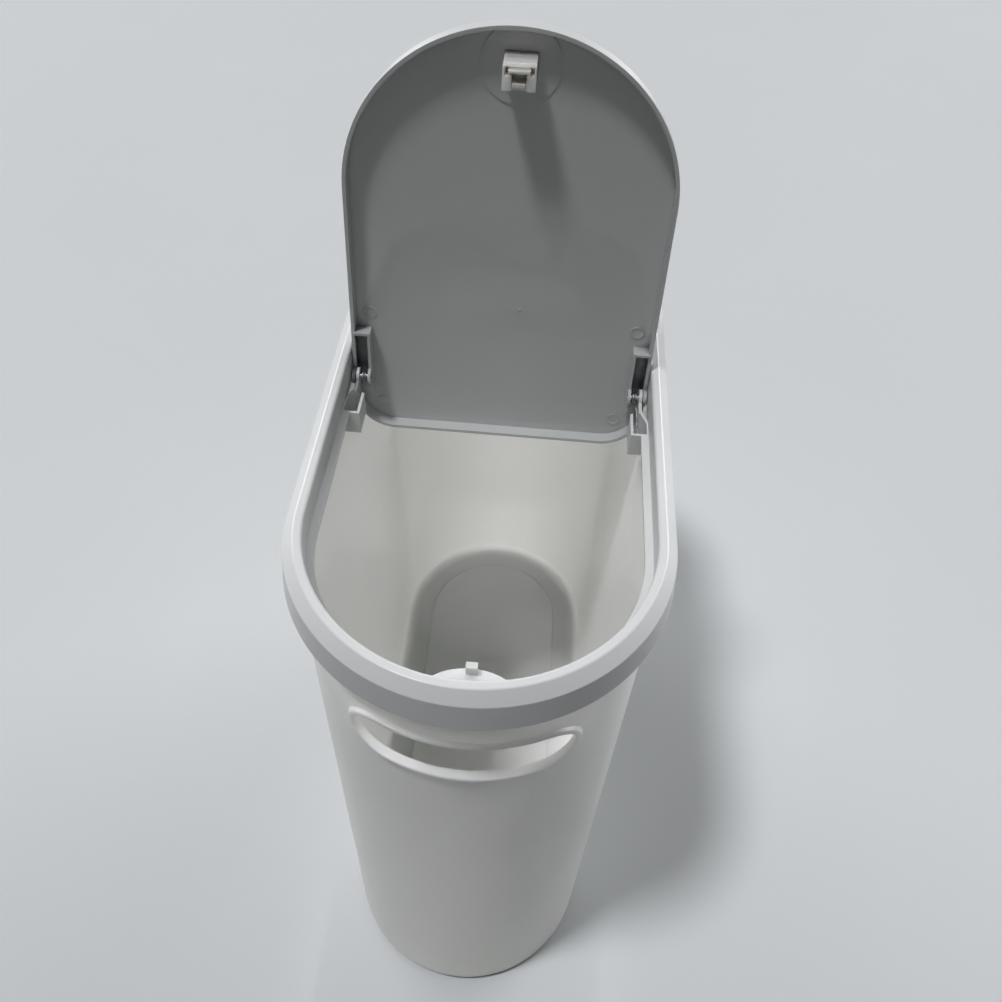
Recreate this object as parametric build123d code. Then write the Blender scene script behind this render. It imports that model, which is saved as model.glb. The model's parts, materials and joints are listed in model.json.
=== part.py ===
from build123d import *
from math import cos, hypot, pi, radians, sin
import os

# A slim bathroom bin: a tapered bucket of stadium plan, a collar that lifts off its rim, and a sprung lid
# with a push latch. Millimetres. +Z is up, -Y is the front, and the origin is on the floor under the middle.
# The lid is drawn open, as it rests when the latch has let go.

# Bucket
straight_length = 166.4  # between the centres of the two round ends
foot_radius = 59.0  # outside, at the floor
shoulder_radius = 65.0  # outside, at the rim
bucket_height = 298.5
bucket_wall = 2.0
base_round = 5.0
floor_round = 3.6
foot_width = 3.0
foot_depth = 4.3
floor_thickness = 2.2
panel_radius = 39.9
panel_rise = 1.2
panel_slope = 1.2

# Carrying slots, one in each round end of the bucket
grip_width = 76.5
grip_height = 22.0
grip_drop = 42.0  # of its middle below the rim
bead_width = 2.3
bead_proud = 1.5
bead_round = 0.7

# Collar
bag_gap = 2.1  # between the bucket's rim and the skirt, for the turned-over edge of a bag
collar_wall = 1.5
collar_clearance = 0.22
lip_wall = 1.15
crest_width = 3.2
crest_rise = 5.8  # above the bucket's rim
crest_round = 1.1
shoulder_drop = 4.3  # from the crest to the skirt's top edge
edge_round = 0.8
skirt_depth = 11.7
skirt_flare = 1.0
ledge_drop = 12.3  # from the crest
ledge_width = 2.96
ledge_thickness = 2.0
seat_rib_thickness = 1.4
seat_rib_bite = 0.5
seat_rib_end_angles = (-60, -30, 0, 30, 60)
seat_rib_side_shares = (-0.36, -0.12, 0.12, 0.36)

# Lid, measured closed
lid_gap = 0.54  # to the collar's mouth
lid_rest = 1.3  # over the ledge, so that a push can go down and let go
lid_depth = 7.2
lid_plate = 2.0
lid_wall = 1.4
lid_edge_round = 1.6
lid_corner = 17.1
lid_tail = 27.7  # behind the hinge
lid_mark_radius = 2.9
lid_mark_proud = 0.25
lid_mark_hollow_share = 0.74
lid_mark_front_inset = 6.9  # from the lid's side
lid_mark_rear_inset = 11.4
lid_mark_ahead = 27.4  # of the hinge
lid_mark_behind = 17.6
open_angle = 95.26

# Deck, the fixed part of the top behind the lid
deck_thickness = 2.0
deck_gap = 1.8
deck_skirt_depth = 12.0
deck_skirt_wall = 1.5

# Hinge
hinge_y = 0.39
hinge_drop = 0.0  # of the pin's axis below the top of the ledge
pin_radius = 1.25
pin_seat_clearance = 0.02
pin_running_clearance = 0.06
pin_end_inset = 0.25
pin_end_chamfer = 0.25
lug_radius = 3.4
pocket_width = 5.1
pocket_wall = 1.1
pocket_reach = 20.7  # ahead of the hinge
pocket_tail = 9.4  # behind the hinge
pocket_proud = 0.8  # below the lid's free edge
arm_thickness = 1.2
arm_clearance = 0.32
bracket_reach = 22.4  # ahead of the hinge
bracket_length = 12.0
bracket_depth = 11.0
bracket_wall = 1.1
bracket_floor = 1.2
bracket_inset = 0.6  # into the collar's lip
arm_root = 8.4  # ahead of the hinge
arm_bend = 15.4

# Lid springs, wound round the hinge pins
spring_wire = 0.5
spring_radius = 2.2
spring_pitch = 0.93
spring_side_gap = 0.12
spring_start_angle = -77.0
spring_end_angle = 675.0
spring_segments = 9
spring_front_leg = 18.6
spring_lid_leg = 5.2

# Striker and the tongue that carries it
latch_x = 1.5
latch_inset = 13.9  # of the latch's middle from the lid's nose
tongue_drop = 8.0  # from the top of the ledge
tongue_thickness = 2.0
tongue_radius = 23.0
tongue_clearance = 1.75  # of the tongue's edge beyond the striker's middle
apron_wall = 1.5
striker_side_clearance = 0.5  # in the latch's channel
striker_height = 5.0
striker_neck = 1.4
striker_head = 2.7
striker_head_height = 1.8
striker_head_round = 0.5
striker_spigot_radius = 1.1
striker_spigot_clearance = 0.03

# Latch: depths are counted out of the lid from its inner face
housing_width = 11.2
housing_length = 8.6
housing_depth = 13.4
housing_wall = 0.7
housing_floor = 1.0
housing_edge_round = 0.4
housing_slot_depth = 11.5
housing_slot_width = 1.4
channel_width = 4.9  # way in for the striker, between two blocks in the mouth
notch_depth = 1.2  # of the channel in the housing's rear wall
mouth_block_front = 0.6
pad_radius = 14.0
pad_height = 0.35
slide_travel = 2.0
slider_clearance = 0.2
slider_plate_depth = 6.5
slider_plate_thickness = 1.5
slider_ear_height = 1.4
slider_ear_wall = 0.8
push_pad_height = 1.3
push_pad_clearance = 0.35
pilot_radius = 1.0
pilot_height = 1.2
jaw_pivot_depth = 8.7
jaw_pivot_offset = 2.0
jaw_pivot_radius = 0.5
jaw_pivot_clearance = 0.08
jaw_length = 5.4
jaw_thickness = 0.7
jaw_hook_height = 0.6
jaw_hook_overlap = 0.4
jaw_swing = 6.0
jaw_side_clearance = 0.25

# Latch spring and follower pin, inside the latch
latch_spring_wire = 0.4
latch_spring_radius = 1.6
latch_spring_turns = 4
follower_wire = 0.5
follower_offset = 1.35
follower_tip_depth = 4.0
follower_tip_reach = 0.35
follower_socket_clearance = 0.05
wing_thickness = 1.1
wing_length = 4.7
wing_height = 3.4
track_depth = 0.65
track_length = 3.9
track_border = 0.35
heart_length = 1.5
heart_width = 1.6

overrun = 5.0  # of cuts beyond the faces that they go through

# Levels and radii that follow from the sizes above
half_straight = straight_length / 2
crest_level = bucket_height + crest_rise
skirt_top = crest_level - shoulder_drop
skirt_bottom = skirt_top - skirt_depth
ledge_top = crest_level - ledge_drop
ledge_bottom = ledge_top - ledge_thickness
grip_level = bucket_height - grip_drop


def bucket_outside(level):
    """Outer radius of the bucket's ends at a level."""
    return foot_radius + (shoulder_radius - foot_radius) * level / bucket_height


lip_radius = bucket_outside(ledge_bottom) - bucket_wall - collar_clearance
mouth_radius = lip_radius - lip_wall
ledge_radius = mouth_radius - ledge_width
crest_radius = mouth_radius + crest_width
rim_radius = shoulder_radius + bag_gap + collar_wall
skirt_radius = rim_radius + skirt_flare

lid_radius = mouth_radius - lid_gap
lid_edge = ledge_top + lid_rest
lid_top = lid_edge + lid_depth
lid_inner = lid_top - lid_plate
lid_rear = hinge_y + lid_tail
hinge_z = ledge_top - hinge_drop
hinge_axis = Axis((0, hinge_y, hinge_z), (1, 0, 0))
latch_y = -half_straight - lid_radius + latch_inset
striker_width = channel_width - 2 * striker_side_clearance
slider_ear_top = slider_plate_depth + slider_plate_thickness + slider_ear_height
tongue_top = ledge_top - tongue_drop

flange_inside = lid_radius - lid_wall
pocket_inner = flange_inside - pocket_width
arm_outer = flange_inside - arm_clearance
arm_inner = arm_outer - arm_thickness


def section(points, rounds=()):
    """A closed face in X and Z, with chosen corners rounded: rounds holds (corner, radius)."""
    face = make_face(Polyline(*points, close=True))
    for corner, radius in rounds:
        vertex = face.vertices().sort_by_distance((*points[corner], 0))[0]
        face = fillet(vertex, radius)
    return Plane.XZ * face


def carried_round(profile, half=half_straight):
    """Carries a section, drawn out from the middle of a round end, all round the stadium."""
    rear = revolve(Pos(0, half, 0) * profile, axis=Axis((0, half, 0), (0, 0, 1)), revolution_arc=180)
    right = extrude(Pos(0, -half, 0) * profile, amount=2 * half, dir=(0, 1, 0))
    return rear + mirror(rear, about=Plane.XZ) + right + mirror(right, about=Plane.YZ)


def stadium(radius, half=half_straight):
    return SlotCenterToCenter(2 * half, 2 * radius, rotation=90)


def slab(outline, low, high):
    """A plan outline stood up between two levels."""
    return extrude(Pos(0, 0, low) * outline, amount=high - low)


def block(low, high):
    """A box between two corners."""
    size = [b - a for a, b in zip(low, high)]
    middle = [(a + b) / 2 for a, b in zip(low, high)]
    return Pos(*middle) * Box(*size)


def across(sketch, left, right):
    """An outline drawn in Y and Z, carried along X between two places."""
    return extrude(Pos(left, 0, 0) * (Plane.YZ * sketch), amount=right - left)


def opened(shape):
    """Turns a piece of the lid from closed to open."""
    return shape.rotate(hinge_axis, -open_angle)


def both_sides(shape):
    return shape + mirror(shape, about=Plane.YZ)


# Bucket
def bucket_shell():
    foot_inner = foot_radius - base_round - foot_width
    panel_foot = panel_radius + panel_slope
    floor_top = foot_depth + floor_thickness
    points = (
        (0, foot_depth + panel_rise),
        (panel_radius, foot_depth + panel_rise),
        (panel_foot, foot_depth),
        (foot_inner, foot_depth),
        (foot_inner, 0),
        (foot_radius, 0),
        (shoulder_radius, bucket_height),
        (shoulder_radius - bucket_wall, bucket_height),
        (bucket_outside(floor_top) - bucket_wall, floor_top),
        (panel_foot, floor_top),
        (panel_radius, floor_top + panel_rise),
        (0, floor_top + panel_rise),
    )
    return carried_round(section(points, ((5, base_round), (8, floor_round))))


def grip_bead():
    """The rolled edge round a carrying slot, standing out from the front wall."""
    proud = (
        (0, 0),
        (foot_radius + bead_proud, 0),
        (shoulder_radius + bead_proud, bucket_height),
        (0, bucket_height),
    )
    hollow = (
        (0, 0),
        (foot_radius - bucket_wall, 0),
        (shoulder_radius - bucket_wall, bucket_height),
        (0, bucket_height),
    )
    wall = carried_round(section(proud)) - carried_round(section(hollow))
    return wall & grip_prism(bead_width)


def grip_prism(margin):
    """The slot's outline, grown by a margin and carried through the front wall."""
    outline = SlotOverall(grip_width + 2 * margin, grip_height + 2 * margin)
    depth = shoulder_radius + overrun
    return extrude(Pos(0, -half_straight, grip_level) * (Plane.XZ * outline), amount=depth)


def bucket():
    bead = grip_bead() - grip_prism(0)
    face = bead.faces().filter_by(GeomType.CONE).sort_by(Axis.Y)[0]
    bead = fillet(face.edges(), bead_round)
    shell = bucket_shell() - grip_prism(0) - mirror(grip_prism(0), about=Plane.XZ)
    return shell + bead + mirror(bead, about=Plane.XZ)


# Collar
def collar_ring():
    """The sloping top, its lip round the mouth, and the skirt outside the bucket's rim."""
    points = (
        (mouth_radius, ledge_bottom),
        (mouth_radius, crest_level),
        (crest_radius, crest_level),
        (rim_radius, skirt_top),
        (skirt_radius, skirt_bottom),
        (skirt_radius - collar_wall, skirt_bottom),
        (rim_radius - collar_wall, skirt_top - collar_wall),
        (crest_radius, crest_level - collar_wall),
        (lip_radius, crest_level - collar_wall),
        (lip_radius, ledge_bottom),
    )
    return carried_round(section(points, ((1, crest_round), (2, crest_round), (3, edge_round))))


def seat_ribs():
    """Webs under the crest, which stand on the bucket's rim."""
    inner = lip_radius - seat_rib_bite
    outer = rim_radius - collar_wall + seat_rib_bite
    points = (
        (inner, bucket_height),
        (outer, bucket_height),
        (outer - seat_rib_bite, skirt_top - collar_wall + seat_rib_bite),
        (crest_radius, crest_level - collar_wall + seat_rib_bite),
        (inner, crest_level - collar_wall + seat_rib_bite),
    )
    rib = extrude(section(points), amount=seat_rib_thickness / 2, both=True)
    ribs = []
    for angle in seat_rib_end_angles:
        rear = Pos(0, half_straight, 0) * (Rot(0, 0, 90 + angle) * rib)
        ribs += [rear, mirror(rear, about=Plane.XZ)]
    for share in seat_rib_side_shares:
        right = Pos(0, share * straight_length, 0) * rib
        ribs += [right, mirror(right, about=Plane.YZ)]
    return ribs


def lid_opening():
    """Plan of the hole in the collar that the lid fills and swings through."""
    rear = lid_rear + deck_gap
    length = rear + half_straight
    outline = Pos(0, -half_straight, 0) * Circle(mouth_radius)
    outline += Pos(0, rear - length / 2, 0) * Rectangle(2 * mouth_radius, length)
    corners = outline.vertices().sort_by(Axis.Y)[-2:]
    return fillet(corners, lid_corner + deck_gap)


def deck():
    """The fixed top behind the lid, with a stiffening skirt along its straight front edge."""
    hidden = mouth_radius + lip_wall / 2
    plate = slab(stadium(hidden), lid_top - deck_thickness, lid_top)
    front_cut = block(
        (-hidden - overrun, -half_straight - hidden - overrun, lid_top - deck_thickness - overrun),
        (hidden + overrun, hinge_y, lid_top + overrun),
    )
    plate = plate - front_cut - slab(lid_opening(), lid_top - deck_thickness - overrun, lid_top + overrun)
    reach = mouth_radius - lid_corner - deck_gap
    front = lid_rear + deck_gap
    skirt = block((-reach, front, lid_top - deck_skirt_depth), (reach, front + deck_skirt_wall, lid_top))
    return plate + skirt


def ledge():
    """The shelf inside the mouth, ahead of the hinges."""
    ring = slab(stadium(lip_radius - lip_wall / 2), ledge_bottom, ledge_top)
    ring -= slab(stadium(ledge_radius), ledge_bottom - overrun, ledge_top + overrun)
    behind = hinge_y - bracket_reach + bracket_wall
    rear_cut = block(
        (-skirt_radius, behind, ledge_bottom - overrun),
        (skirt_radius, half_straight + skirt_radius, ledge_top + overrun),
    )
    return ring - rear_cut


def hinge_bracket():
    """The right-hand bracket: an open box under the lip, narrowing to the arm that holds the pin."""
    front = hinge_y - bracket_reach
    back = front + bracket_length
    low = ledge_top - bracket_depth
    inner = pocket_inner - pocket_wall + bracket_wall
    outer = mouth_radius + bracket_inset
    bend = hinge_y - arm_bend
    root = hinge_y - arm_root
    plan = make_face(
        Polyline(
            (inner, front),
            (outer, front),
            (outer, bend),
            (arm_outer, root),
            (arm_outer, back + bracket_wall),
            (arm_inner, back + bracket_wall),
            (inner, back),
            close=True,
        )
    )
    hollow = make_face(
        Polyline(
            (inner + bracket_wall, front + bracket_wall),
            (outer - arm_thickness, front + bracket_wall),
            (outer - arm_thickness, bend),
            (arm_inner, root),
            (arm_inner, back + overrun),
            (inner + bracket_wall, back + overrun),
            close=True,
        )
    )
    box = slab(plan, low, ledge_top) - slab(hollow, low + bracket_floor, ledge_top + overrun)
    arm = make_face(
        Polyline(
            (root - bracket_wall, low),
            (root - bracket_wall, ledge_top),
            (hinge_y, hinge_z),
            (hinge_y, hinge_z - lug_radius),
            close=True,
        )
    )
    arm += Pos(hinge_y, hinge_z) * Circle(lug_radius)
    arm -= Pos(hinge_y, hinge_z) * Circle(pin_radius + pin_seat_clearance)
    return box + across(arm, arm_inner, arm_outer)


def striker_tongue():
    """The half-moon shelf at the front, hung from the ledge by a curved apron."""
    edge = latch_y + tongue_clearance
    disc = Pos(latch_x, edge - tongue_radius) * Circle(tongue_radius)
    outer = ledge_radius + apron_wall
    low = tongue_top - tongue_thickness
    plate = slab(disc & stadium(outer), low, tongue_top)
    apron = slab(disc & (stadium(outer) - stadium(ledge_radius)), low, ledge_top)
    hole = Pos(latch_x, latch_y, low - overrun) * Cylinder(
        striker_spigot_radius + striker_spigot_clearance,
        tongue_thickness + 2 * overrun,
        align=(Align.CENTER, Align.CENTER, Align.MIN),
    )
    return plate + apron - hole


def rim_collar():
    collar = collar_ring() + seat_ribs() + deck() + ledge()
    return collar + both_sides(hinge_bracket()) + striker_tongue()


def latch_striker():
    """A T-shaped post on the tongue, held by a spigot through it."""
    neck_top = striker_height - striker_head_height
    half_neck = striker_neck / 2
    half_head = striker_head / 2
    points = (
        (-half_neck, 0),
        (half_neck, 0),
        (half_neck, neck_top),
        (half_head, neck_top),
        (half_head, striker_height),
        (-half_head, striker_height),
        (-half_head, neck_top),
        (-half_neck, neck_top),
    )
    face = make_face(Polyline(*points, close=True))
    face = fillet(face.vertices().sort_by(Axis.Y)[-2:], striker_head_round)
    post = Pos(latch_x, latch_y, tongue_top) * across(face, -striker_width / 2, striker_width / 2)
    spigot = Pos(latch_x, latch_y, tongue_top) * Cylinder(
        striker_spigot_radius, tongue_thickness, align=(Align.CENTER, Align.CENTER, Align.MAX)
    )
    return post + spigot


# Hinge pins and lid springs
def hinge_pin():
    left = pocket_inner - pocket_wall + pin_end_inset
    right = lid_radius - pin_end_inset
    pin = across(Pos(hinge_y, hinge_z) * Circle(pin_radius), left, right)
    return chamfer(pin.edges().filter_by(GeomType.CIRCLE), pin_end_chamfer)


def biarc(start, start_way, end, end_way):
    """Two arcs that join two points and keep the directions at both."""
    span = end - start
    ways = start_way + end_way
    rest = 4 - ways.dot(ways)
    along = span.dot(ways)
    reach = (-along + (along**2 + rest * span.dot(span)) ** 0.5) / rest
    first = start + start_way * reach
    last = end - end_way * reach
    joint = (first + last) / 2
    joint_way = (last - first).normalized()
    return [TangentArc(start, joint, tangent=start_way), TangentArc(joint, end, tangent=joint_way)]


def coil(middle, radius, pitch, start_angle, end_angle, segments, hand):
    """Arcs of a coil about X, turning in Y and Z and moving along X by hand times pitch each turn."""

    def place(angle):
        rise = hand * pitch * (angle - start_angle) / 360
        return middle + Vector(rise, radius * cos(radians(angle)), radius * sin(radians(angle)))

    def way(angle):
        rise = hand * pitch / (2 * pi)
        return Vector(rise, -radius * sin(radians(angle)), radius * cos(radians(angle))).normalized()

    step = (end_angle - start_angle) / segments
    arcs = []
    for index in range(segments):
        low = start_angle + index * step
        arcs += biarc(place(low), way(low), place(low + step), way(low + step))
    return arcs, place(start_angle), way(start_angle), place(end_angle), way(end_angle)


def wire_along(edges, start, way, wire):
    profile = Plane(origin=start, z_dir=way) * Circle(wire / 2)
    return sweep(profile, path=Wire(edges))


def lid_spring():
    """The right-hand spring: two turns round the pin, a leg in the bracket and one against the lid."""
    drift = spring_pitch * arm_root / (2 * pi * spring_radius)
    start_x = arm_inner - spring_side_gap - spring_wire / 2 - drift
    middle = Vector(start_x, hinge_y, hinge_z)
    arcs, start, way, end, end_way = coil(
        middle, spring_radius, spring_pitch, spring_start_angle, spring_end_angle, spring_segments, -1
    )
    front = start - way * spring_front_leg
    edges = [Line(front, start)] + arcs + [Line(end, end + end_way * spring_lid_leg)]
    return wire_along(edges, front, way, spring_wire)


# Lid
def lid_outline(inset=0.0):
    """Plan of the lid, drawn in by an inset."""
    radius = lid_radius - inset
    rear = lid_rear - inset
    length = rear + half_straight
    outline = Pos(0, -half_straight, 0) * Circle(radius)
    outline += Pos(0, rear - length / 2, 0) * Rectangle(2 * radius, length)
    return fillet(outline.vertices().sort_by(Axis.Y)[-2:], lid_corner - inset)


def lid_tray():
    tray = slab(lid_outline(), lid_edge, lid_top)
    tray = fillet(tray.faces().sort_by(Axis.Z)[-1].edges(), lid_edge_round)
    return tray - slab(lid_outline(lid_wall), lid_edge - overrun, lid_inner)


def hinge_pocket():
    """The right-hand walls round the spring, with the lug that hangs on the pin."""
    front = hinge_y - pocket_reach
    back = hinge_y + pocket_tail
    low = lid_edge - pocket_proud
    left = pocket_inner - pocket_wall
    lid_bite = lid_plate / 2
    wall = block((left, front, low), (pocket_inner, back, lid_inner + lid_bite))
    cap = block((left, front, low), (flange_inside + lid_wall / 2, front + pocket_wall, lid_inner + lid_bite))
    lug = Pos(hinge_y, hinge_z) * Circle(lug_radius)
    lug += Pos(hinge_y, (hinge_z + lid_inner) / 2) * Rectangle(2 * lug_radius, lid_inner - hinge_z)
    bore = Pos(hinge_y, hinge_z) * Circle(pin_radius + pin_running_clearance)
    inner_lug = across(lug, left, pocket_inner)
    outer_lug = across(lug, flange_inside, lid_radius)
    bores = across(bore, left - overrun, lid_radius + overrun)
    return wall + cap + inner_lug + outer_lug, bores


def lid_marks():
    """The four round ejector marks on the inner face."""
    places = (
        (lid_radius - lid_mark_front_inset, hinge_y - lid_mark_ahead),
        (lid_radius - lid_mark_rear_inset, hinge_y + lid_mark_behind),
    )
    mark = Circle(lid_mark_radius) - Circle(lid_mark_radius * lid_mark_hollow_share)
    marks = []
    for place in places:
        raised = slab(Pos(*place) * mark, lid_inner - lid_mark_proud, lid_inner + lid_mark_proud)
        marks += [raised, mirror(raised, about=Plane.YZ)]
    return marks


def lid():
    walls, bores = hinge_pocket()
    pad = Pos(latch_x, latch_y) * Circle(pad_radius) & lid_outline(lid_wall / 2)
    shape = lid_tray() + both_sides(walls) + slab(pad, lid_inner - pad_height, lid_inner + pad_height)
    shape = shape + lid_marks() - both_sides(bores)
    socket = Rectangle(housing_width + 2 * slider_clearance, housing_length + 2 * slider_clearance)
    socket_cut = slab(Pos(latch_x, latch_y) * socket, lid_inner - pad_height - overrun, lid_inner)
    return opened(shape - socket_cut)


# Latch, drawn with Z out of the lid and Y towards its nose, then set in the lid
def in_lid(shape):
    return opened(Location((latch_x, latch_y, lid_inner), (180, 0, 0)) * shape)


def latch_housing():
    half_width = housing_width / 2
    half_length = housing_length / 2
    case = block((-half_width, -half_length, 0), (half_width, half_length, housing_depth))
    case = fillet(case.edges().filter_by(Axis.Z), housing_edge_round)
    inner_width = half_width - housing_wall
    inner_length = half_length - housing_wall
    room_top = (inner_width, inner_length, housing_depth + overrun)
    case -= block((-inner_width, -inner_length, housing_floor), room_top)
    slot_half = inner_width - slider_clearance
    slot_end = housing_slot_depth + housing_slot_width
    slot_low = (-slot_half, inner_length - slider_clearance, housing_slot_depth)
    case -= block(slot_low, (slot_half, half_length + overrun, slot_end))
    half_channel = channel_width / 2
    blocks_low = slider_ear_top + slider_clearance
    for side in (-1, 1):
        low, high = sorted((side * half_channel, side * inner_width))
        case += block((low, -inner_length, blocks_low), (high, mouth_block_front, housing_depth))
    notch_low = (-half_channel, -half_length - overrun, housing_depth - notch_depth)
    case -= block(notch_low, (half_channel, 0, housing_depth + overrun))
    socket = Cylinder(follower_wire / 2 + follower_socket_clearance, 2 * housing_floor + overrun)
    return in_lid(case - Pos(*follower_place(), 0) * socket)


def follower_place():
    gap_middle = housing_width / 2 - housing_wall - slider_clearance / 2 - follower_wire / 2
    return gap_middle, follower_offset


def latch_slider():
    """The sprung carrier: a plate with ears for the jaws, a push pad, the spring's pilot and the cam wing."""
    half_width = housing_width / 2 - housing_wall - slider_clearance
    half_length = housing_length / 2 - housing_wall - slider_clearance
    plate_top = slider_plate_depth + slider_plate_thickness
    plate = block((-half_width, -half_length, slider_plate_depth), (half_width, half_length, plate_top))
    ear_inner = half_width - slider_ear_wall
    groove = Circle(jaw_pivot_radius + jaw_pivot_clearance)
    for side in (-1, 1):
        low, high = sorted((side * ear_inner, side * half_width))
        plate += block((low, -half_length, plate_top), (high, half_length, slider_ear_top))
    for side in (-1, 1):
        seat = Pos(side * jaw_pivot_offset, jaw_pivot_depth) * groove
        plate -= across(seat, -half_width - overrun, half_width + overrun)
    pad_half_width = channel_width / 2 - push_pad_clearance
    pad_half_length = jaw_pivot_offset - jaw_thickness / 2 - push_pad_clearance
    pad_top = plate_top + push_pad_height
    plate += block((-pad_half_width, -pad_half_length, plate_top), (pad_half_width, pad_half_length, pad_top))
    pilot = Pos(0, 0, slider_plate_depth) * Cylinder(
        pilot_radius, pilot_height, align=(Align.CENTER, Align.CENTER, Align.MAX)
    )
    return in_lid(plate + pilot + cam_wing())


def cam_wing():
    """A wall up the side of the slider with the follower's track round its heart-shaped island."""
    x, _ = follower_place()
    face = x - follower_wire / 2 - slider_clearance / 2
    back = face - wing_thickness
    low = slider_plate_depth - wing_height
    top = slider_plate_depth + slider_plate_thickness
    wing = block((back, -wing_length / 2, low), (face, wing_length / 2, top))
    track_low = low + track_border
    track = block(
        (face - track_depth, -wing_length / 2 + track_border, track_low),
        (face + overrun, wing_length / 2 - track_border, track_low + track_length),
    )
    middle = track_low + track_length / 2
    notch = middle + heart_length / 4
    lobe = middle + heart_length / 2
    heart = make_face(
        Polyline(
            (0, middle - heart_length / 2),
            (heart_width / 2, middle),
            (heart_width / 4, lobe),
            (0, notch),
            (-heart_width / 4, lobe),
            (-heart_width / 2, middle),
            close=True,
        )
    )
    return wing - track + across(heart, face - track_depth, face)


def latch_jaw(side):
    """A jaw on one side, drawn shut and then swung open about its pivot."""
    inner = jaw_pivot_offset - jaw_thickness / 2
    tip = jaw_pivot_depth + jaw_length
    hook = striker_head / 2 - jaw_hook_overlap
    points = (
        (inner, jaw_pivot_depth),
        (inner + jaw_thickness, jaw_pivot_depth),
        (inner + jaw_thickness, tip),
        (hook + jaw_hook_height / 2, tip),
        (hook, tip - jaw_hook_height / 2),
        (hook, tip - jaw_hook_height),
        (inner, tip - jaw_hook_height),
    )
    face = make_face(Polyline(*points, close=True))
    face += Pos(jaw_pivot_offset, jaw_pivot_depth) * Circle(jaw_pivot_radius)
    room = housing_width / 2 - housing_wall - slider_clearance - slider_ear_wall
    if side < 0:
        room = channel_width / 2
    half_width = room - jaw_side_clearance
    jaw = across(face, -half_width, half_width)
    jaw = jaw.rotate(Axis((0, jaw_pivot_offset, jaw_pivot_depth), (1, 0, 0)), -jaw_swing)
    if side < 0:
        jaw = mirror(jaw, about=Plane.XZ)
    return in_lid(jaw)


def latch_spring():
    """A compression spring between the housing's floor and the slider."""
    clear = latch_spring_wire / 2
    room = slider_plate_depth - housing_floor - 2 * clear
    pitch = room / latch_spring_turns
    middle = Vector(0, 0, 0)
    turns = latch_spring_turns
    arcs, start, way, _, _ = coil(middle, latch_spring_radius, pitch, 0, 360 * turns, 4 * turns, 1)
    spring = wire_along(arcs, start, way, latch_spring_wire)
    upright = spring.rotate(Axis.Y, -90)
    return in_lid(Pos(0, 0, housing_floor + clear) * upright)


def follower_pin():
    """The bent wire that runs in the slider's track and holds it in."""
    x, y = follower_place()
    radius = follower_wire
    top = Vector(x, y, housing_floor / 4)
    corner = Vector(x, y, follower_tip_depth)
    path = FilletPolyline(top, corner, corner - Vector(follower_tip_reach + radius, 0, 0), radius=radius)
    profile = Plane(origin=top, z_dir=(0, 0, 1)) * Circle(follower_wire / 2)
    return in_lid(sweep(profile, path=path))


def least_gap(radius, pitch, wire):
    """Least gap between neighbouring turns of a coil, measured on points of its middle line."""
    steps = 36  # to a turn
    points = []
    for step in range(2 * steps + 1):
        angle = 2 * pi * step / steps
        points.append((pitch * step / steps, radius * cos(angle), radius * sin(angle)))
    gaps = []
    for index, (x, y, z) in enumerate(points):
        for later in points[index + steps // 2:]:
            gaps.append(hypot(later[0] - x, later[1] - y, later[2] - z) - wire)
    return min(gaps)


right_pin = hinge_pin()
right_spring = lid_spring()
nodes = {
    "bucket": bucket(),
    "rim_collar": rim_collar(),
    "latch_striker": latch_striker(),
    "hinge_pin_right": right_pin,
    "hinge_pin_left": mirror(right_pin, about=Plane.YZ),
    "lid_spring_right": right_spring,
    "lid_spring_left": mirror(right_spring, about=Plane.YZ),
    "lid": lid(),
    "latch_housing": latch_housing(),
    "latch_slider": latch_slider(),
    "latch_jaw_front": latch_jaw(1),
    "latch_jaw_rear": latch_jaw(-1),
    "latch_spring": latch_spring(),
    "latch_follower_pin": follower_pin(),
}

os.makedirs("parts", exist_ok=True)
for name, shape in nodes.items():
    shape.label = name
    export_step(shape, f"parts/{name}.step")
    print(name, "solids", len(shape.solids()), "volume", round(shape.volume, 2))

latch_pitch = (slider_plate_depth - housing_floor - latch_spring_wire) / latch_spring_turns
lid_spring_gap = least_gap(spring_radius, spring_pitch, spring_wire)
latch_spring_gap = least_gap(latch_spring_radius, latch_pitch, latch_spring_wire)
shut_way = Vector(0, -sin(radians(open_angle)), -cos(radians(open_angle)))
print("lid hinge at", hinge_y, hinge_z, "shutting through", open_angle)
print("latch slide goes in by", slide_travel, "against", shut_way)
for side in (1, -1):
    pivot = in_lid(Pos(0, side * jaw_pivot_offset, jaw_pivot_depth) * Vertex(0, 0, 0)).center()
    print("jaw pivot at", pivot, "shutting through", side * jaw_swing)
print("least gap of a lid spring to itself", round(lid_spring_gap, 3))
print("least gap of the latch spring to itself", round(latch_spring_gap, 3))
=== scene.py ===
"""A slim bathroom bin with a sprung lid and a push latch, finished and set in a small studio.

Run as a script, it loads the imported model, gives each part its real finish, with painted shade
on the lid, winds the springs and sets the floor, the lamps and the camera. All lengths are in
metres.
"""

import json
from math import atan, cos, pi, radians, sin

import bmesh
import bpy
from bpy.props import FloatProperty, FloatVectorProperty, IntProperty, PointerProperty
from bpy.types import Operator, Panel, PropertyGroup
from mathutils import Matrix, Vector


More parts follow.
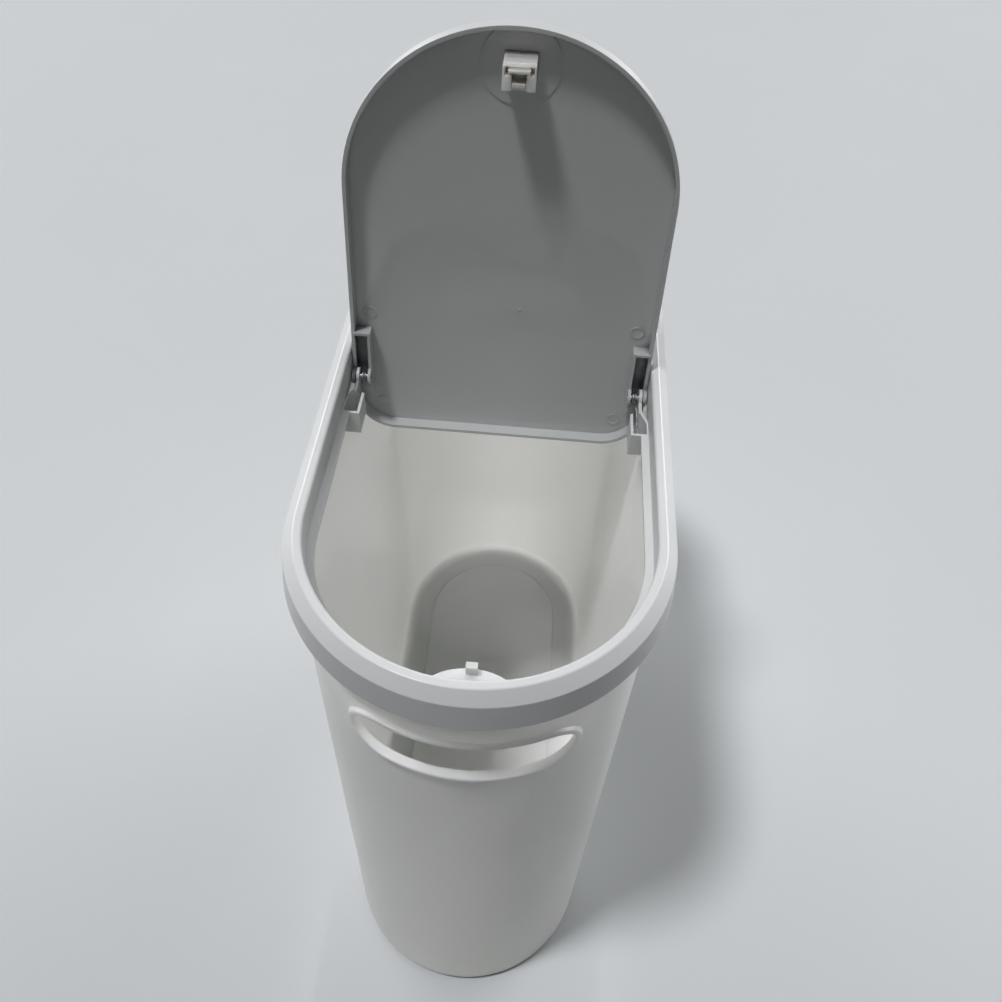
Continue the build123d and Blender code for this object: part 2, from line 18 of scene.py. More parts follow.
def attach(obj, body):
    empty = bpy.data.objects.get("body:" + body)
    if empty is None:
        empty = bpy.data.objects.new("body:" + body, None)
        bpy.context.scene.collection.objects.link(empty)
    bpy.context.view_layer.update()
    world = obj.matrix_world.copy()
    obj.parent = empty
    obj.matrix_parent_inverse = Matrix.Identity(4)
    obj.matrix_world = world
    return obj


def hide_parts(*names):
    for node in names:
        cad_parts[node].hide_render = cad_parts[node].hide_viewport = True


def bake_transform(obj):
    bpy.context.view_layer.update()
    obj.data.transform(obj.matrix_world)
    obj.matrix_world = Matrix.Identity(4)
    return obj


bl_info = {
    "name": "Bathroom bin",
    "version": (1, 0, 0),
    "blender": (4, 5, 0),
    "location": "View3D > Sidebar > Bathroom bin",
    "description": "Finishes and springs for a slim bathroom bin with a sprung, push-latched lid",
    "category": "Object",
}

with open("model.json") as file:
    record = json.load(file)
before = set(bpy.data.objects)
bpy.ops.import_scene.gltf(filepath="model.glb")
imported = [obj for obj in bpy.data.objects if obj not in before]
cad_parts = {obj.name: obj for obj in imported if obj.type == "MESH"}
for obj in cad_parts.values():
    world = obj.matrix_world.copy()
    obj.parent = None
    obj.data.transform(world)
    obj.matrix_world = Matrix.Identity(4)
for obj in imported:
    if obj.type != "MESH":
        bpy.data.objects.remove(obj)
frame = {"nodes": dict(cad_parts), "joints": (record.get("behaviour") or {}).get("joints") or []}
nodes = frame["nodes"]
joints = {joint["name"]: joint for joint in frame["joints"]}
bpy.context.view_layer.update()

hinge = Vector(joints["lid_hinge"]["pos_m"])
open_angle = radians(joints["lid_hinge"]["range_deg"][1])
mm = 0.001


def linear(code):
    """Red, green and blue of an sRGB hex colour, made linear."""
    parts = [int(code[i:i + 2], 16) / 255 for i in (1, 3, 5)]
    return [p / 12.92 if p <= 0.04045 else ((p + 0.055) / 1.055) ** 2.4 for p in parts]


def colour_property(name, description, code):
    return FloatVectorProperty(
        name=name, description=description, default=linear(code),
        subtype="COLOR", size=3, min=0, max=1,
    )


class BinColours(PropertyGroup):
    """Colours of the finishes, as they look in plain light, save the lid's, which is painted darker
    for shade, and the pocket shade, a dark colour painted into narrow gaps.
    """

    white_plastic: colour_property(
        "White plastic", "Bucket, natural white polypropylene", "#FAFBF6"
    )
    grey_plastic: colour_property("Grey plastic", "Collar, pale grey polypropylene", "#C5C7C8")
    # Painted shade: the lid is the collar's grey polypropylene, set darker so that its inner face
    # looks shaded
    lid_plastic_shaded: colour_property(
        "Lid plastic, shaded", "Lid, the same polypropylene painted darker for shade", "#ACAEAF"
    )
    acetal: colour_property("Acetal", "Latch, unfilled white acetal", "#F4F2EA")
    striker: colour_property("Striker", "Striker, greyer acetal", "#B9BBB6")
    # Painted shade: a dark colour laid into the lid's hinge pockets and other narrow gaps, where
    # shade falls
    pocket_painted_shade: colour_property("Pocket shade", "Painted shade in the lid's hinge pockets and narrow gaps", "#343C45")
    steel: colour_property("Steel", "Hinge pins and springs", "#B4B6BA")
    floor: colour_property("Floor", "Floor and backdrop, as the camera sees them", "#C0C3C6")
    floor_bounce: colour_property(
        "Floor bounce", "Floor, as it throws light back on the bin", "#333435"
    )


class BinSprings(PropertyGroup):
    """Sizes of the wound springs."""

    lid_wire: FloatProperty(
        name="Lid spring wire", description="Diameter of the hinge springs' wire", default=0.5 * mm,
        unit="LENGTH",
    )
    lid_radius: FloatProperty(
        name="Lid spring radius", description="Radius of the wire's middle", default=2.2 * mm,
        unit="LENGTH",
    )
    lid_pitch: FloatProperty(
        name="Lid spring pitch", description="Advance in one turn", default=0.93 * mm,
        unit="LENGTH",
    )
    lid_start: FloatProperty(
        name="Lid spring place", description="Where the winding starts, from the bin's middle",
        default=57.064 * mm, unit="LENGTH",
    )
    lid_from: FloatProperty(
        name="Lid spring from", description="Angle at which the winding starts",
        default=radians(-77), unit="ROTATION",
    )
    lid_to: FloatProperty(
        name="Lid spring to", description="Angle at which the winding ends", default=radians(675),
        unit="ROTATION",
    )
    lid_front_leg: FloatProperty(
        name="Front leg", description="Length of the leg in the bracket", default=18.6 * mm,
        unit="LENGTH",
    )
    lid_rear_leg: FloatProperty(
        name="Lid leg", description="Length of the leg that pushes the lid", default=5.2 * mm,
        unit="LENGTH",
    )
    latch_wire: FloatProperty(
        name="Latch spring wire", description="Diameter of the latch spring's wire",
        default=0.4 * mm, unit="LENGTH",
    )
    latch_radius: FloatProperty(
        name="Latch spring radius", description="Radius of the wire's middle", default=1.6 * mm,
        unit="LENGTH",
    )
    latch_base: FloatProperty(
        name="Latch spring base", description="Depth of the first turn out of the lid",
        default=1.2 * mm, unit="LENGTH",
    )
    latch_height: FloatProperty(
        name="Latch spring height", description="From the first turn to the last", default=5.1 * mm,
        unit="LENGTH",
    )
    latch_turns: FloatProperty(
        name="Active turns", description="Open turns between the closed ends", default=3.6
    )
    latch_closed: FloatProperty(
        name="Closed turns", description="Turns that touch at each end", default=0.9
    )
    turn_steps: IntProperty(
        name="Steps in a turn", description="Points along each turn of wire", default=40, min=12
    )


class BinStudio(PropertyGroup):
    """Camera, lamps and floor."""

    camera_place: FloatVectorProperty(
        name="Camera", description="Where the camera stands",
        default=(13.54 * mm, -299.64 * mm, 567.24 * mm), subtype="TRANSLATION", size=3,
    )
    camera_tilt: FloatProperty(
        name="Tilt", description="Angle of the view below the horizon", default=radians(45.3896),
        unit="ROTATION",
    )
    camera_turn: FloatProperty(
        name="Turn", description="Heading of the view, to the left", default=radians(2.2091),
        unit="ROTATION",
    )
    camera_roll: FloatProperty(
        name="Roll", description="Lean of the camera", default=radians(3.0340), unit="ROTATION"
    )
    camera_lens: FloatProperty(
        name="Lens", description="Focal length on a 36 mm frame", default=35.209, unit="CAMERA"
    )
    camera_shift: FloatProperty(
        name="Shift", description="Vertical shift of the frame, as a share of its width",
        default=-0.0649,
    )
    key_direction: FloatVectorProperty(
        name="Key direction", description="From the bin towards the main lamp",
        default=(-0.27, -0.16, 0.95), subtype="DIRECTION", size=3,
    )
    key_angle: FloatProperty(
        name="Key width", description="How wide the main lamp looks from the bin",
        default=radians(8), unit="ROTATION",
    )
    key_strength: FloatProperty(
        name="Key strength", description="Strength of the main lamp", default=2.0
    )
    left_direction: FloatVectorProperty(
        name="Rear left direction",
        description="From the bin towards the lamp behind it on the left", default=(-0.7, 0.7, 0.2),
        subtype="DIRECTION", size=3,
    )
    left_strength: FloatProperty(
        name="Rear left strength", description="Strength of the lamp behind the bin on the left",
        default=2.15,
    )
    right_direction: FloatVectorProperty(
        name="Rear right direction",
        description="From the bin towards the lamp behind it on the right", default=(0.7, 0.7, 0.2),
        subtype="DIRECTION", size=3,
    )
    right_strength: FloatProperty(
        name="Rear right strength", description="Strength of the lamp behind the bin on the right",
        default=2.75,
    )
    rear_angle: FloatProperty(
        name="Rear width", description="How wide the two lamps behind the bin look from it",
        default=radians(44), unit="ROTATION",
    )
    back_beam_direction: FloatVectorProperty(
        name="Back beam direction",
        description="From the mouth towards the lamp that lights the back wall inside",
        default=(0.0, -0.56, 0.83), subtype="DIRECTION", size=3,
    )
    back_beam_power: FloatProperty(
        name="Back beam power", description="Power of the lamp that lights the back wall inside",
        default=44.0, unit="POWER",
    )
    front_beam_direction: FloatVectorProperty(
        name="Front beam direction",
        description="From the mouth towards the lamp that lights the front wall inside",
        default=(0.0, 0.25, 0.97), subtype="DIRECTION", size=3,
    )
    front_beam_power: FloatProperty(
        name="Front beam power", description="Power of the lamp that lights the front wall inside",
        default=115.0, unit="POWER",
    )
    side_beam_direction: FloatVectorProperty(
        name="Side beam direction",
        description="From the mouth towards one of the lamps that light the side walls",
        default=(0.35, -0.3, 0.88), subtype="DIRECTION", size=3,
    )
    side_beam_power: FloatProperty(
        name="Side beam power", description="Power of each lamp that lights a side wall inside",
        default=32.0, unit="POWER",
    )
    beam_aim: FloatVectorProperty(
        name="Beam aim", description="Middle of the mouth", default=(0.0, -67 * mm, 295 * mm),
        subtype="TRANSLATION", size=3,
    )
    beam_distance: FloatProperty(
        name="Beam distance", description="From the mouth to the lamps that shine into it",
        default=1.5, unit="LENGTH",
    )
    beam_width: FloatProperty(
        name="Beam width", description="Width of the beams at the mouth", default=92 * mm,
        unit="LENGTH",
    )
    beam_size: FloatProperty(
        name="Beam size", description="Radius of the lamps that shine into the mouth",
        default=60 * mm, unit="LENGTH",
    )
    sky_strength: FloatProperty(
        name="Sky", description="Strength of the light from all round", default=0.16
    )
    backdrop: FloatProperty(
        name="Backdrop", description="Brightness of the backdrop, times the floor's colour",
        default=1.28,
    )
    floor_size: FloatProperty(
        name="Floor size", description="Side of the floor", default=14.0, unit="LENGTH"
    )


class BinLatch(PropertyGroup):
    """Places of the small pieces that are set in the lid, measured with the lid shut."""

    latch_place: FloatVectorProperty(
        name="Latch", description="Middle of the latch on the lid's inner face",
        default=(1.5 * mm, -130.219 * mm, 298.5 * mm), subtype="TRANSLATION", size=3,
    )
    gate_place: FloatVectorProperty(
        name="Gate mark", description="Middle of the moulding's gate mark on the lid's inner face",
        default=(6.3 * mm, -33.5 * mm, 298.5 * mm), subtype="TRANSLATION", size=3,
    )
    gate_radius: FloatProperty(
        name="Gate radius", description="Radius of the gate mark", default=0.6 * mm, unit="LENGTH"
    )
    gate_height: FloatProperty(
        name="Gate height", description="How far the gate mark stands out", default=0.25 * mm,
        unit="LENGTH",
    )


# Finishes. A pair of tones or shares multiplies a colour or a roughness at its two ends.
noise_low, noise_high = 0.3, 0.7  # most of a noise's values lie between these
flow_size = 55 * mm  # where the melt flowed and changed in tone
flow_tones = 0.955, 1.02
rub_size = 30 * mm  # patches that fingers have rubbed
rub_shares = 0.85, 1.15
edge_width = 0.35 * mm  # edges that wear paler
edge_tone = 1.12
edge_from, edge_full = 0.985, 0.8  # cosine between the rounded and the plain normal
edge_most = 0.5
full_shade_sky, no_shade_sky = 0.2, 0.5  # share of open air round a place fully darkened by the painted shade and one left alone
# widest gap that gets painted shade, such as the lid's hinge pockets
shade_gap_width = 11 * mm
bright_from, bright_full = 0.2, 0.6  # cosine to the direction of the bright side
grain_strength = 0.35
bright_grain_strength = 0.06
mould_rough = 0.35
bright_rough = 0.08
slight_glow = 0.06
light_spread = 9 * mm  # how far light goes inside the plastic
spread_shares = 1.0, 1.0, 0.95  # of red, green and blue light
die_line = 0.25 * mm  # the real lines are finer and wouldn't show
die_depth = 0.004 * mm
die_strength = 0.2
die_shares = 0.7, 1.5
oil_size = 1.6 * mm  # spots in the film of oil
oil_tones = 0.8, 1.1
mottle_size = 240 * mm  # brush marks and fading of the painted board
mottle_tones = 0.97, 1.02


def add(tree, kind, inputs=None, **settings):
    """Adds a node with its settings. Inputs are values, or outputs of other nodes to link."""
    node = tree.nodes.new(kind)
    for name, value in settings.items():
        setattr(node, name, value)
    for name, value in (inputs or {}).items():
        if isinstance(value, bpy.types.NodeSocket):
            tree.links.new(value, node.inputs[name])
        else:
            node.inputs[name].default_value = value
    return node


def new_material(name):
    made = bpy.data.materials.new(name)
    made.use_nodes = True
    made.node_tree.nodes.clear()
    return made, made.node_tree


def scaled(colour, share):
    """A colour made lighter or darker, with alpha."""
    return (*[min(1.0, c * share) for c in colour], 1.0)


def moulded_plastic(
    name, colour, rough, ior=1.49, grain=0.9 * mm, depth=0.012 * mm, glow=0.0,
    polished=None, recess_shade=None,
):
    """Injection-moulded plastic, such as polypropylene or acetal.

    The eye reads it by a soft sheen with a fine even grain from the mould, slow changes of tone
    where the melt flowed, a sheen that handling has made a little uneven, and paler rubbed
    edges. The real grain is about 0.1 mm and too fine to show, so it is drawn coarser. The
    sheen's range doesn't cross 0.27, where the denoiser would draw a line. glow is how much of
    the light goes into the plastic and spreads there. polished is a direction and a roughness,
    for faces made on the bright side of the mould. The last argument is a colour and a width:
    gaps narrower than that are darkened towards that colour, as painted shade.
    """
    made, tree = new_material(name)
    coords = add(tree, "ShaderNodeTexCoord")
    place = coords.outputs["Object"]
    flow = add(
        tree, "ShaderNodeTexNoise", {"Vector": place, "Scale": 1 / flow_size, "Detail": 2.0}
    )
    tone = add(
        tree, "ShaderNodeMix",
        {
            0: flow.outputs["Fac"],
            6: scaled(colour, flow_tones[0]), 7: scaled(colour, flow_tones[1]),
        },
        data_type="RGBA",
    )

    soft_normal = add(tree, "ShaderNodeBevel", {"Radius": edge_width}, samples=6).outputs["Normal"]
    face_normal = add(tree, "ShaderNodeNewGeometry").outputs["Normal"]
    agree = add(
        tree, "ShaderNodeVectorMath", {0: soft_normal, 1: face_normal}, operation="DOT_PRODUCT"
    )
    worn = add(
        tree, "ShaderNodeMapRange",
        {
            "Value": agree.outputs["Value"], "From Min": edge_from, "From Max": edge_full,
            "To Max": edge_most,
        },
    )
    edged = add(
        tree, "ShaderNodeMix",
        {0: worn.outputs["Result"], 6: tone.outputs[2], 7: scaled(colour, edge_tone)},
        data_type="RGBA",
    )
    finish = edged.outputs[2]
    # Painted shade: where little open air surrounds a place, as in narrow gaps and pockets, the
    # colour is darkened towards a dark one
    if recess_shade:
        shade_colour, width = recess_shade
        open_air = add(tree, "ShaderNodeAmbientOcclusion", {"Distance": width}, samples=8)
        unshaded = add(
            tree, "ShaderNodeMapRange",
            {"Value": open_air.outputs["AO"], "From Min": full_shade_sky, "From Max": no_shade_sky},
        )
        finish = add(
            tree, "ShaderNodeMix", {0: unshaded.outputs["Result"], 6: (*shade_colour, 1.0), 7: finish},
            data_type="RGBA",
        ).outputs[2]

    rub = add(tree, "ShaderNodeTexNoise", {"Vector": place, "Scale": 1 / rub_size, "Detail": 1.0})
    sheen = add(
        tree, "ShaderNodeMapRange",
        {
            "Value": rub.outputs["Fac"], "From Min": noise_low, "From Max": noise_high,
            "To Min": rough * rub_shares[0], "To Max": rough * rub_shares[1],
        },
    )
    roughness = sheen.outputs["Result"]
    strength = grain_strength
    height = add(tree, "ShaderNodeTexNoise", {"Vector": place, "Scale": 1 / grain, "Detail": 2.0})
    if polished:
        direction, smooth = polished
        facing = add(
            tree, "ShaderNodeVectorMath", {0: coords.outputs["Normal"], 1: direction},
            operation="DOT_PRODUCT",
        )
        bright = add(
            tree, "ShaderNodeMapRange",
            {
                "Value": facing.outputs["Value"],
                "From Min": bright_from, "From Max": bright_full,
            },
        )
        gloss = add(
            tree, "ShaderNodeMapRange",
            {
                "Value": rub.outputs["Fac"], "From Min": noise_low, "From Max": noise_high,
                "To Min": smooth * rub_shares[0], "To Max": smooth * rub_shares[1],
            },
        )
        chosen = add(
            tree, "ShaderNodeMix",
            {0: bright.outputs["Result"], 2: roughness, 3: gloss.outputs["Result"]},
        )
        roughness = chosen.outputs[0]
        fade = add(
            tree, "ShaderNodeMapRange",
            {
                "Value": bright.outputs["Result"],
                "To Min": grain_strength, "To Max": bright_grain_strength,
            },
        )
        strength = fade.outputs["Result"]
    relief = add(
        tree, "ShaderNodeBump",
        {"Strength": strength, "Distance": depth, "Height": height.outputs["Fac"]},
    )
    shader = add(
        tree, "ShaderNodeBsdfPrincipled",
        {
            "Base Color": finish, "Roughness": roughness, "IOR": ior,
            "Normal": relief.outputs["Normal"], "Subsurface Weight": glow,
            "Subsurface Radius": spread_shares, "Subsurface Scale": light_spread,
        },
    )
    add(tree, "ShaderNodeOutputMaterial", {"Surface": shader.outputs["BSDF"]})
    return made


def drawn_steel(name, colour, rough):
    """Drawn steel wire or rod, bright, with fine lines from the die and a thin film of oil."""
    made, tree = new_material(name)
    place = add(tree, "ShaderNodeTexCoord").outputs["Object"]
    die = add(tree, "ShaderNodeTexNoise", {"Vector": place, "Scale": 1 / die_line, "Detail": 4.0})
    film = add(tree, "ShaderNodeTexNoise", {"Vector": place, "Scale": 1 / oil_size, "Detail": 2.0})
    tone = add(
        tree, "ShaderNodeMix",
        {
            0: film.outputs["Fac"],
            6: scaled(colour, oil_tones[0]), 7: scaled(colour, oil_tones[1]),
        },
        data_type="RGBA",
    )
    rubbed = add(
        tree, "ShaderNodeMapRange",
        {
            "Value": die.outputs["Fac"], "From Min": noise_low, "From Max": noise_high,
            "To Min": rough * die_shares[0], "To Max": rough * die_shares[1],
        },
    )
    relief = add(
        tree, "ShaderNodeBump",
        {"Strength": die_strength, "Distance": die_depth, "Height": die.outputs["Fac"]},
    )
    shader = add(
        tree, "ShaderNodeBsdfPrincipled",
        {
            "Base Color": tone.outputs[2], "Metallic": 1.0, "Roughness": rubbed.outputs["Result"],
            "Normal": relief.outputs["Normal"],
        },
    )
    add(tree, "ShaderNodeOutputMaterial", {"Surface": shader.outputs["BSDF"]})
    return made


def seen_directly(tree):
    """One where the camera, a mirror or glass looks, and nought for light that is thrown back."""
    path = add(tree, "ShaderNodeLightPath")
    straight = add(
        tree, "ShaderNodeMath",
        {0: path.outputs["Is Camera Ray"], 1: path.outputs["Is Glossy Ray"]}, operation="MAXIMUM",
    )
    return add(
        tree, "ShaderNodeMath",
        {0: straight.outputs["Value"], 1: path.outputs["Is Transmission Ray"]},
        operation="MAXIMUM",
    ).outputs["Value"]


def floor_paint(name, seen, thrown):
    """Smooth matt painted board. It looks pale, and throws light back as a darker floor does."""
    made, tree = new_material(name)
    place = add(tree, "ShaderNodeTexCoord").outputs["Object"]
    mottle = add(
        tree, "ShaderNodeTexNoise", {"Vector": place, "Scale": 1 / mottle_size, "Detail": 3.0}
    )
    tone = add(
        tree, "ShaderNodeMix",
        {
            0: mottle.outputs["Fac"],
            6: scaled(seen, mottle_tones[0]), 7: scaled(seen, mottle_tones[1]),
        },
        data_type="RGBA",
    )
    shown = add(
        tree, "ShaderNodeMix",
        {0: seen_directly(tree), 6: (*thrown, 1.0), 7: tone.outputs[2]},
        data_type="RGBA",
    )
    shader = add(
        tree, "ShaderNodeBsdfPrincipled",
        {"Base Color": shown.outputs[2], "Roughness": 0.8, "Specular IOR Level": 0.1},
    )
    add(tree, "ShaderNodeOutputMaterial", {"Surface": shader.outputs["BSDF"]})
    return made


def dress(node_name, material):
    """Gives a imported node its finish."""
    slots = nodes[node_name].data.materials
    slots.clear()
    slots.append(material)


# Shapes
mark_steps = 20
mark_profile = (  # (radius, height) pairs, as shares of the mark's own
    (1.15, -1), (1.1, 0), (1, 0.5), (0.8, 1), (0.4, 0.8), (0.1, 0.7)
)
wire_roundness = 4
closed_pitch = 1.05  # in wire diameters, so that the closed turns don't run together


def opened(point):
    """A point of the shut lid, turned to where it is with the lid open."""
    return Matrix.Rotation(-open_angle, 3, "X") @ (Vector(point) - hinge) + hinge


def coil(radius, heights, steps):
    """Points of a winding about X. heights holds (turn, advance) pairs, joined by even slopes."""
    points = []
    for (turn, height), (next_turn, next_height) in zip(heights, heights[1:]):
        count = max(2, round((next_turn - turn) * steps))
        for step in range(count):
            share = step / count
            angle = 2 * pi * (turn + (next_turn - turn) * share)
            advance = height + (next_height - height) * share
            points.append(Vector((advance, radius * cos(angle), radius * sin(angle))))
    turn, height = heights[-1]
    angle = 2 * pi * turn
    points.append(Vector((height, radius * cos(angle), radius * sin(angle))))
    return points


def wire(name, points, diameter, material):
    """Round wire along points, with flat ends."""
    curve = bpy.data.curves.new(name, "CURVE")
    curve.dimensions = "3D"
    curve.bevel_depth = diameter / 2
    curve.bevel_resolution = wire_roundness
    curve.use_fill_caps = True
    line = curve.splines.new("POLY")
    line.points.add(len(points) - 1)
    for target, point in zip(line.points, points):
        target.co = (*point, 1.0)
    line.use_smooth = True
    curve.materials.append(material)
    made = bpy.data.objects.new(name, curve)
    bpy.context.scene.collection.objects.link(made)
    return made


def as_mesh(made):
    """The same piece as a mesh."""
    mesh = bpy.data.meshes.new_from_object(made)
    name = made.name
    curve = made.data
    bpy.data.objects.remove(made)
    bpy.data.curves.remove(curve)
    mesh.name = name
    solid = bpy.data.objects.new(name, mesh)
    bpy.context.scene.collection.objects.link(solid)
    return solid


def lathed(name, profile, steps, material):
    """A round piece about Z from (radius, height) pairs."""
    mesh = bpy.data.meshes.new(name)
    made = bpy.data.objects.new(name, mesh)
    shape = bmesh.new()
    rings = []
    for radius, height in profile:
        ring = []
        for step in range(steps):
            angle = 2 * pi * step / steps
            ring.append(shape.verts.new((radius * cos(angle), radius * sin(angle), height)))
        rings.append(ring)
    for low, high in zip(rings, rings[1:]):
        for step in range(steps):
            after = (step + 1) % steps
            shape.faces.new((low[step], low[after], high[after], high[step]))
    shape.faces.new(rings[-1])
    shape.faces.new(list(reversed(rings[0])))
    bmesh.ops.recalc_face_normals(shape, faces=shape.faces)
    shape.to_mesh(mesh)
    shape.free()
    for face in mesh.polygons:
        face.use_smooth = True
    mesh.materials.append(material)
    bpy.context.scene.collection.objects.link(made)
    return made


# Studio
film_width = 36.0  # in millimetres, as Blender takes it
nearest = 10 * mm  # what stands closer to the camera isn't drawn


def far_lamp(name, direction, strength, width):
    """A soft lamp far away, which lights the floor evenly all round."""
    lamp = bpy.data.lights.new(name, "SUN")
    lamp.energy = strength
    lamp.angle = width
    made = bpy.data.objects.new(name, lamp)
    made.rotation_mode = "QUATERNION"
    made.rotation_quaternion = Vector(direction).to_track_quat("Z", "Y")
    bpy.context.scene.collection.objects.link(made)


def beam_lamp(name, direction, power, studio):
    """A narrow lamp that shines into the mouth, with a soft edge."""
    lamp = bpy.data.lights.new(name, "SPOT")
    lamp.spot_size = 2 * atan(studio.beam_width / 2 / studio.beam_distance)
    lamp.spot_blend = 1.0
    lamp.shadow_soft_size = studio.beam_size
    lamp.energy = power
    made = bpy.data.objects.new(name, lamp)
    way = Vector(direction).normalized()
    made.location = Vector(studio.beam_aim) + way * studio.beam_distance
    made.rotation_mode = "QUATERNION"
    made.rotation_quaternion = way.to_track_quat("Z", "Y")
    bpy.context.scene.collection.objects.link(made)


class BATHROOM_BIN_OT_bucket(Operator):
    """Finish the bucket in natural white polypropylene"""

    bl_idname = "bathroom_bin.bucket"
    bl_label = "Bucket"

    def execute(self, context):
        colours = context.scene.bin_colours
        white = moulded_plastic(
            "moulded polypropylene white", colours.white_plastic, rough=mould_rough, glow=1.0
        )
        dress("bucket", white)
        return {"FINISHED"}


class BATHROOM_BIN_OT_collar(Operator):
    """Finish the collar in pale grey polypropylene"""

    bl_idname = "bathroom_bin.collar"
    bl_label = "Collar"

    def execute(self, context):
        colours = context.scene.bin_colours
        grey = moulded_plastic(
            "moulded polypropylene grey", colours.grey_plastic,
            rough=mould_rough, glow=slight_glow,
        )
        dress("rim_collar", grey)
        return {"FINISHED"}


class BATHROOM_BIN_OT_lid(Operator):
    """Finish the lid in pale grey polypropylene with painted shade, bright inside, with its gate
    mark
    """

    bl_idname = "bathroom_bin.lid"
    bl_label = "Lid"

    def execute(self, context):
        colours = context.scene.bin_colours
        places = context.scene.bin_latch
        inward = Matrix.Rotation(-open_angle, 3, "X") @ Vector((0, 0, -1))
        # The lid's darker grey, and the dark in its pockets and narrow gaps, are painted shade
        grey = moulded_plastic(
            "moulded polypropylene grey, painted shade, bright inside", colours.lid_plastic_shaded,
            rough=mould_rough, glow=slight_glow,
            polished=(inward, bright_rough), recess_shade=(colours.pocket_painted_shade, shade_gap_width),
        )
        dress("lid", grey)
        radius = places.gate_radius
        height = places.gate_height
        profile = [(radius * across, height * up) for across, up in mark_profile]
        mark = lathed("lid_gate_mark", profile, mark_steps, grey)
        turned = Matrix.Rotation(pi - open_angle, 4, "X")
        mark.data.transform(Matrix.Translation(opened(places.gate_place)) @ turned)
        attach(mark, "lid")
        return {"FINISHED"}


class BATHROOM_BIN_OT_hinges(Operator):
    """Finish the hinge pins and wind the springs round them"""

    bl_idname = "bathroom_bin.hinges"
    bl_label = "Hinge pins and springs"

    def execute(self, context):
        colours = context.scene.bin_colours
        sizes = context.scene.bin_springs
        rod = drawn_steel("ground steel rod", colours.steel, rough=0.16)
        bright = drawn_steel("drawn spring steel", colours.steel, rough=0.24)
        dress("hinge_pin_right", rod)
        dress("hinge_pin_left", rod)

        first, last = sizes.lid_from / (2 * pi), sizes.lid_to / (2 * pi)
        advance = -sizes.lid_pitch * (last - first)
        winding = coil(sizes.lid_radius, [(first, 0.0), (last, advance)], sizes.turn_steps)
        front_way = (winding[0] - winding[1]).normalized()
        rear_way = (winding[-1] - winding[-2]).normalized()
        points = [winding[0] + front_way * sizes.lid_front_leg] + winding
        points.append(winding[-1] + rear_way * sizes.lid_rear_leg)
        middle = hinge + Vector((sizes.lid_start, 0, 0))
        for side, sign in (("right", 1), ("left", -1)):
            placed = [(point + middle) * Vector((sign, 1, 1)) for point in points]
            spring = wire(f"lid_spring_{side}_wound", placed, sizes.lid_wire, bright)
            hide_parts(f"lid_spring_{side}")
            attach(spring, "collar")
        return {"FINISHED"}


class BATHROOM_BIN_OT_latch(Operator):
    """Finish the latch and its striker in acetal and wind the latch spring"""

    bl_idname = "bathroom_bin.latch"
    bl_label = "Latch"

    def execute(self, context):
        colours = context.scene.bin_colours
        sizes = context.scene.bin_springs
        acetal = moulded_plastic(
            "moulded acetal white", colours.acetal, rough=0.22, ior=1.48,
            grain=0.6 * mm, depth=0.006 * mm, glow=0.9,
        )
        for node in ("latch_housing", "latch_slider", "latch_jaw_front", "latch_jaw_rear"):
            dress(node, acetal)
        grey = moulded_plastic(
            "moulded acetal grey", colours.striker, rough=mould_rough, glow=slight_glow
        )
        dress("latch_striker", grey)
        bright = drawn_steel("drawn latch wire", colours.steel, rough=0.24)
        dress("latch_follower_pin", bright)

        closed = sizes.latch_closed
        rise = closed * sizes.latch_wire * closed_pitch
        total = 2 * closed + sizes.latch_turns
        heights = [
            (0.0, 0.0), (closed, rise),
            (total - closed, sizes.latch_height - rise), (total, sizes.latch_height),
        ]
        place = Vector(context.scene.bin_latch.latch_place)
        points = []
        for point in coil(sizes.latch_radius, heights, sizes.turn_steps):
            depth = sizes.latch_base + point.x
            points.append(opened(place + Vector((point.y, point.z, -depth))))
        spring = as_mesh(wire("latch_spring_wound", points, sizes.latch_wire, bright))
        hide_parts("latch_spring")
        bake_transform(spring)
        return {"FINISHED"}


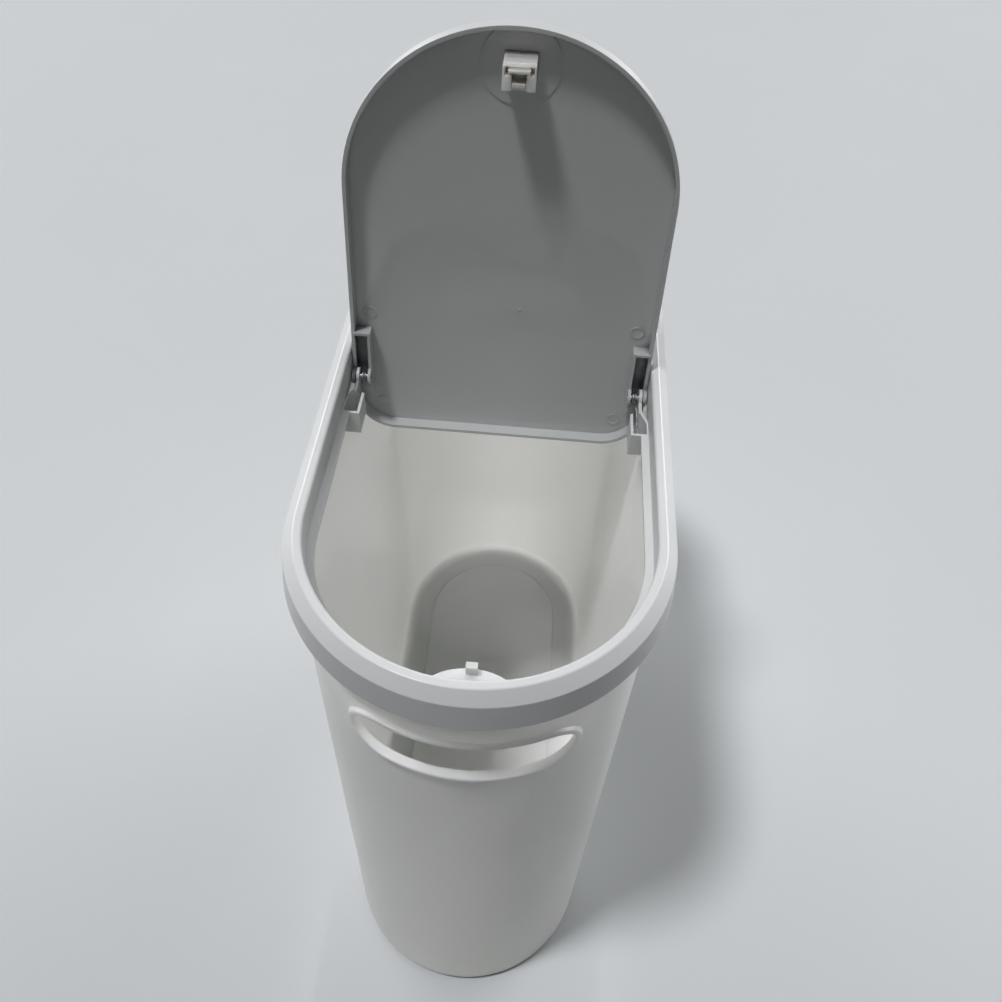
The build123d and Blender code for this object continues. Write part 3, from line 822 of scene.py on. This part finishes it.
class BATHROOM_BIN_OT_studio(Operator):
    """Set the floor, the lamps, the sky and the camera"""

    bl_idname = "bathroom_bin.studio"
    bl_label = "Studio"

    def execute(self, context):
        scene = context.scene
        colours = scene.bin_colours
        studio = scene.bin_studio

        mesh = bpy.data.meshes.new("floor")
        half = studio.floor_size / 2
        corners = [(-half, -half, 0), (half, -half, 0), (half, half, 0), (-half, half, 0)]
        mesh.from_pydata(corners, [], [(0, 1, 2, 3)])
        mesh.materials.append(floor_paint("painted board", colours.floor, colours.floor_bounce))
        floor = bpy.data.objects.new("floor", mesh)
        scene.collection.objects.link(floor)

        far_lamp("key", studio.key_direction, studio.key_strength, studio.key_angle)
        far_lamp("rear left", studio.left_direction, studio.left_strength, studio.rear_angle)
        far_lamp("rear right", studio.right_direction, studio.right_strength, studio.rear_angle)
        beam_lamp("back beam", studio.back_beam_direction, studio.back_beam_power, studio)
        beam_lamp("front beam", studio.front_beam_direction, studio.front_beam_power, studio)
        beam_lamp("right beam", studio.side_beam_direction, studio.side_beam_power, studio)
        mirrored = Vector(studio.side_beam_direction) * Vector((-1, 1, 1))
        beam_lamp("left beam", mirrored, studio.side_beam_power, studio)

        world = bpy.data.worlds.new("studio")
        world.use_nodes = True
        tree = world.node_tree
        tree.nodes.clear()
        thrown = add(
            tree, "ShaderNodeBackground",
            {"Color": (1.0, 1.0, 1.0, 1.0), "Strength": studio.sky_strength},
        )
        shown = add(
            tree, "ShaderNodeBackground",
            {"Color": (*colours.floor, 1.0), "Strength": studio.backdrop},
        )
        sky = add(
            tree, "ShaderNodeMixShader",
            {
                0: seen_directly(tree),
                1: thrown.outputs["Background"], 2: shown.outputs["Background"],
            },
        )
        add(tree, "ShaderNodeOutputWorld", {"Surface": sky.outputs["Shader"]})
        scene.world = world

        camera = bpy.data.cameras.new("camera")
        camera.sensor_width = film_width
        camera.lens = studio.camera_lens
        camera.shift_y = studio.camera_shift
        camera.clip_start = nearest
        viewer = bpy.data.objects.new("camera", camera)
        turn = Matrix.Rotation(studio.camera_turn, 4, "Z")
        tilt = Matrix.Rotation(pi / 2 - studio.camera_tilt, 4, "X")
        roll = Matrix.Rotation(studio.camera_roll, 4, "Z")
        viewer.matrix_world = Matrix.Translation(studio.camera_place) @ turn @ tilt @ roll
        scene.collection.objects.link(viewer)
        scene.camera = viewer
        scene.view_settings.view_transform = "Standard"
        return {"FINISHED"}


class BATHROOM_BIN_PT_panel(Panel):
    """Lists the bin's sizes, colours and pieces"""

    bl_idname = "BATHROOM_BIN_PT_panel"
    bl_label = "Bathroom bin"
    bl_space_type = "VIEW_3D"
    bl_region_type = "UI"
    bl_category = "Bathroom bin"

    def draw(self, context):
        layout = self.layout
        for operator in pieces:
            layout.operator(operator.bl_idname)
        for group_name, group in groups.items():
            column = layout.column()
            for name in group.__annotations__:
                column.prop(getattr(context.scene, group_name), name)


pieces = (
    BATHROOM_BIN_OT_studio,
    BATHROOM_BIN_OT_bucket,
    BATHROOM_BIN_OT_collar,
    BATHROOM_BIN_OT_lid,
    BATHROOM_BIN_OT_hinges,
    BATHROOM_BIN_OT_latch,
)
groups = {
    "bin_colours": BinColours,
    "bin_springs": BinSprings,
    "bin_latch": BinLatch,
    "bin_studio": BinStudio,
}


def register():
    for group in groups.values():
        bpy.utils.register_class(group)
    for operator in pieces:
        bpy.utils.register_class(operator)
    bpy.utils.register_class(BATHROOM_BIN_PT_panel)
    for name, group in groups.items():
        setattr(bpy.types.Scene, name, PointerProperty(type=group))


def unregister():
    for name in groups:
        delattr(bpy.types.Scene, name)
    bpy.utils.unregister_class(BATHROOM_BIN_PT_panel)
    for operator in reversed(pieces):
        bpy.utils.unregister_class(operator)
    for group in reversed(groups.values()):
        bpy.utils.unregister_class(group)


def main():
    register()
    bpy.ops.bathroom_bin.studio()
    bpy.ops.bathroom_bin.bucket()
    bpy.ops.bathroom_bin.collar()
    bpy.ops.bathroom_bin.lid()
    bpy.ops.bathroom_bin.hinges()
    bpy.ops.bathroom_bin.latch()


if __name__ == "__main__":
    main()
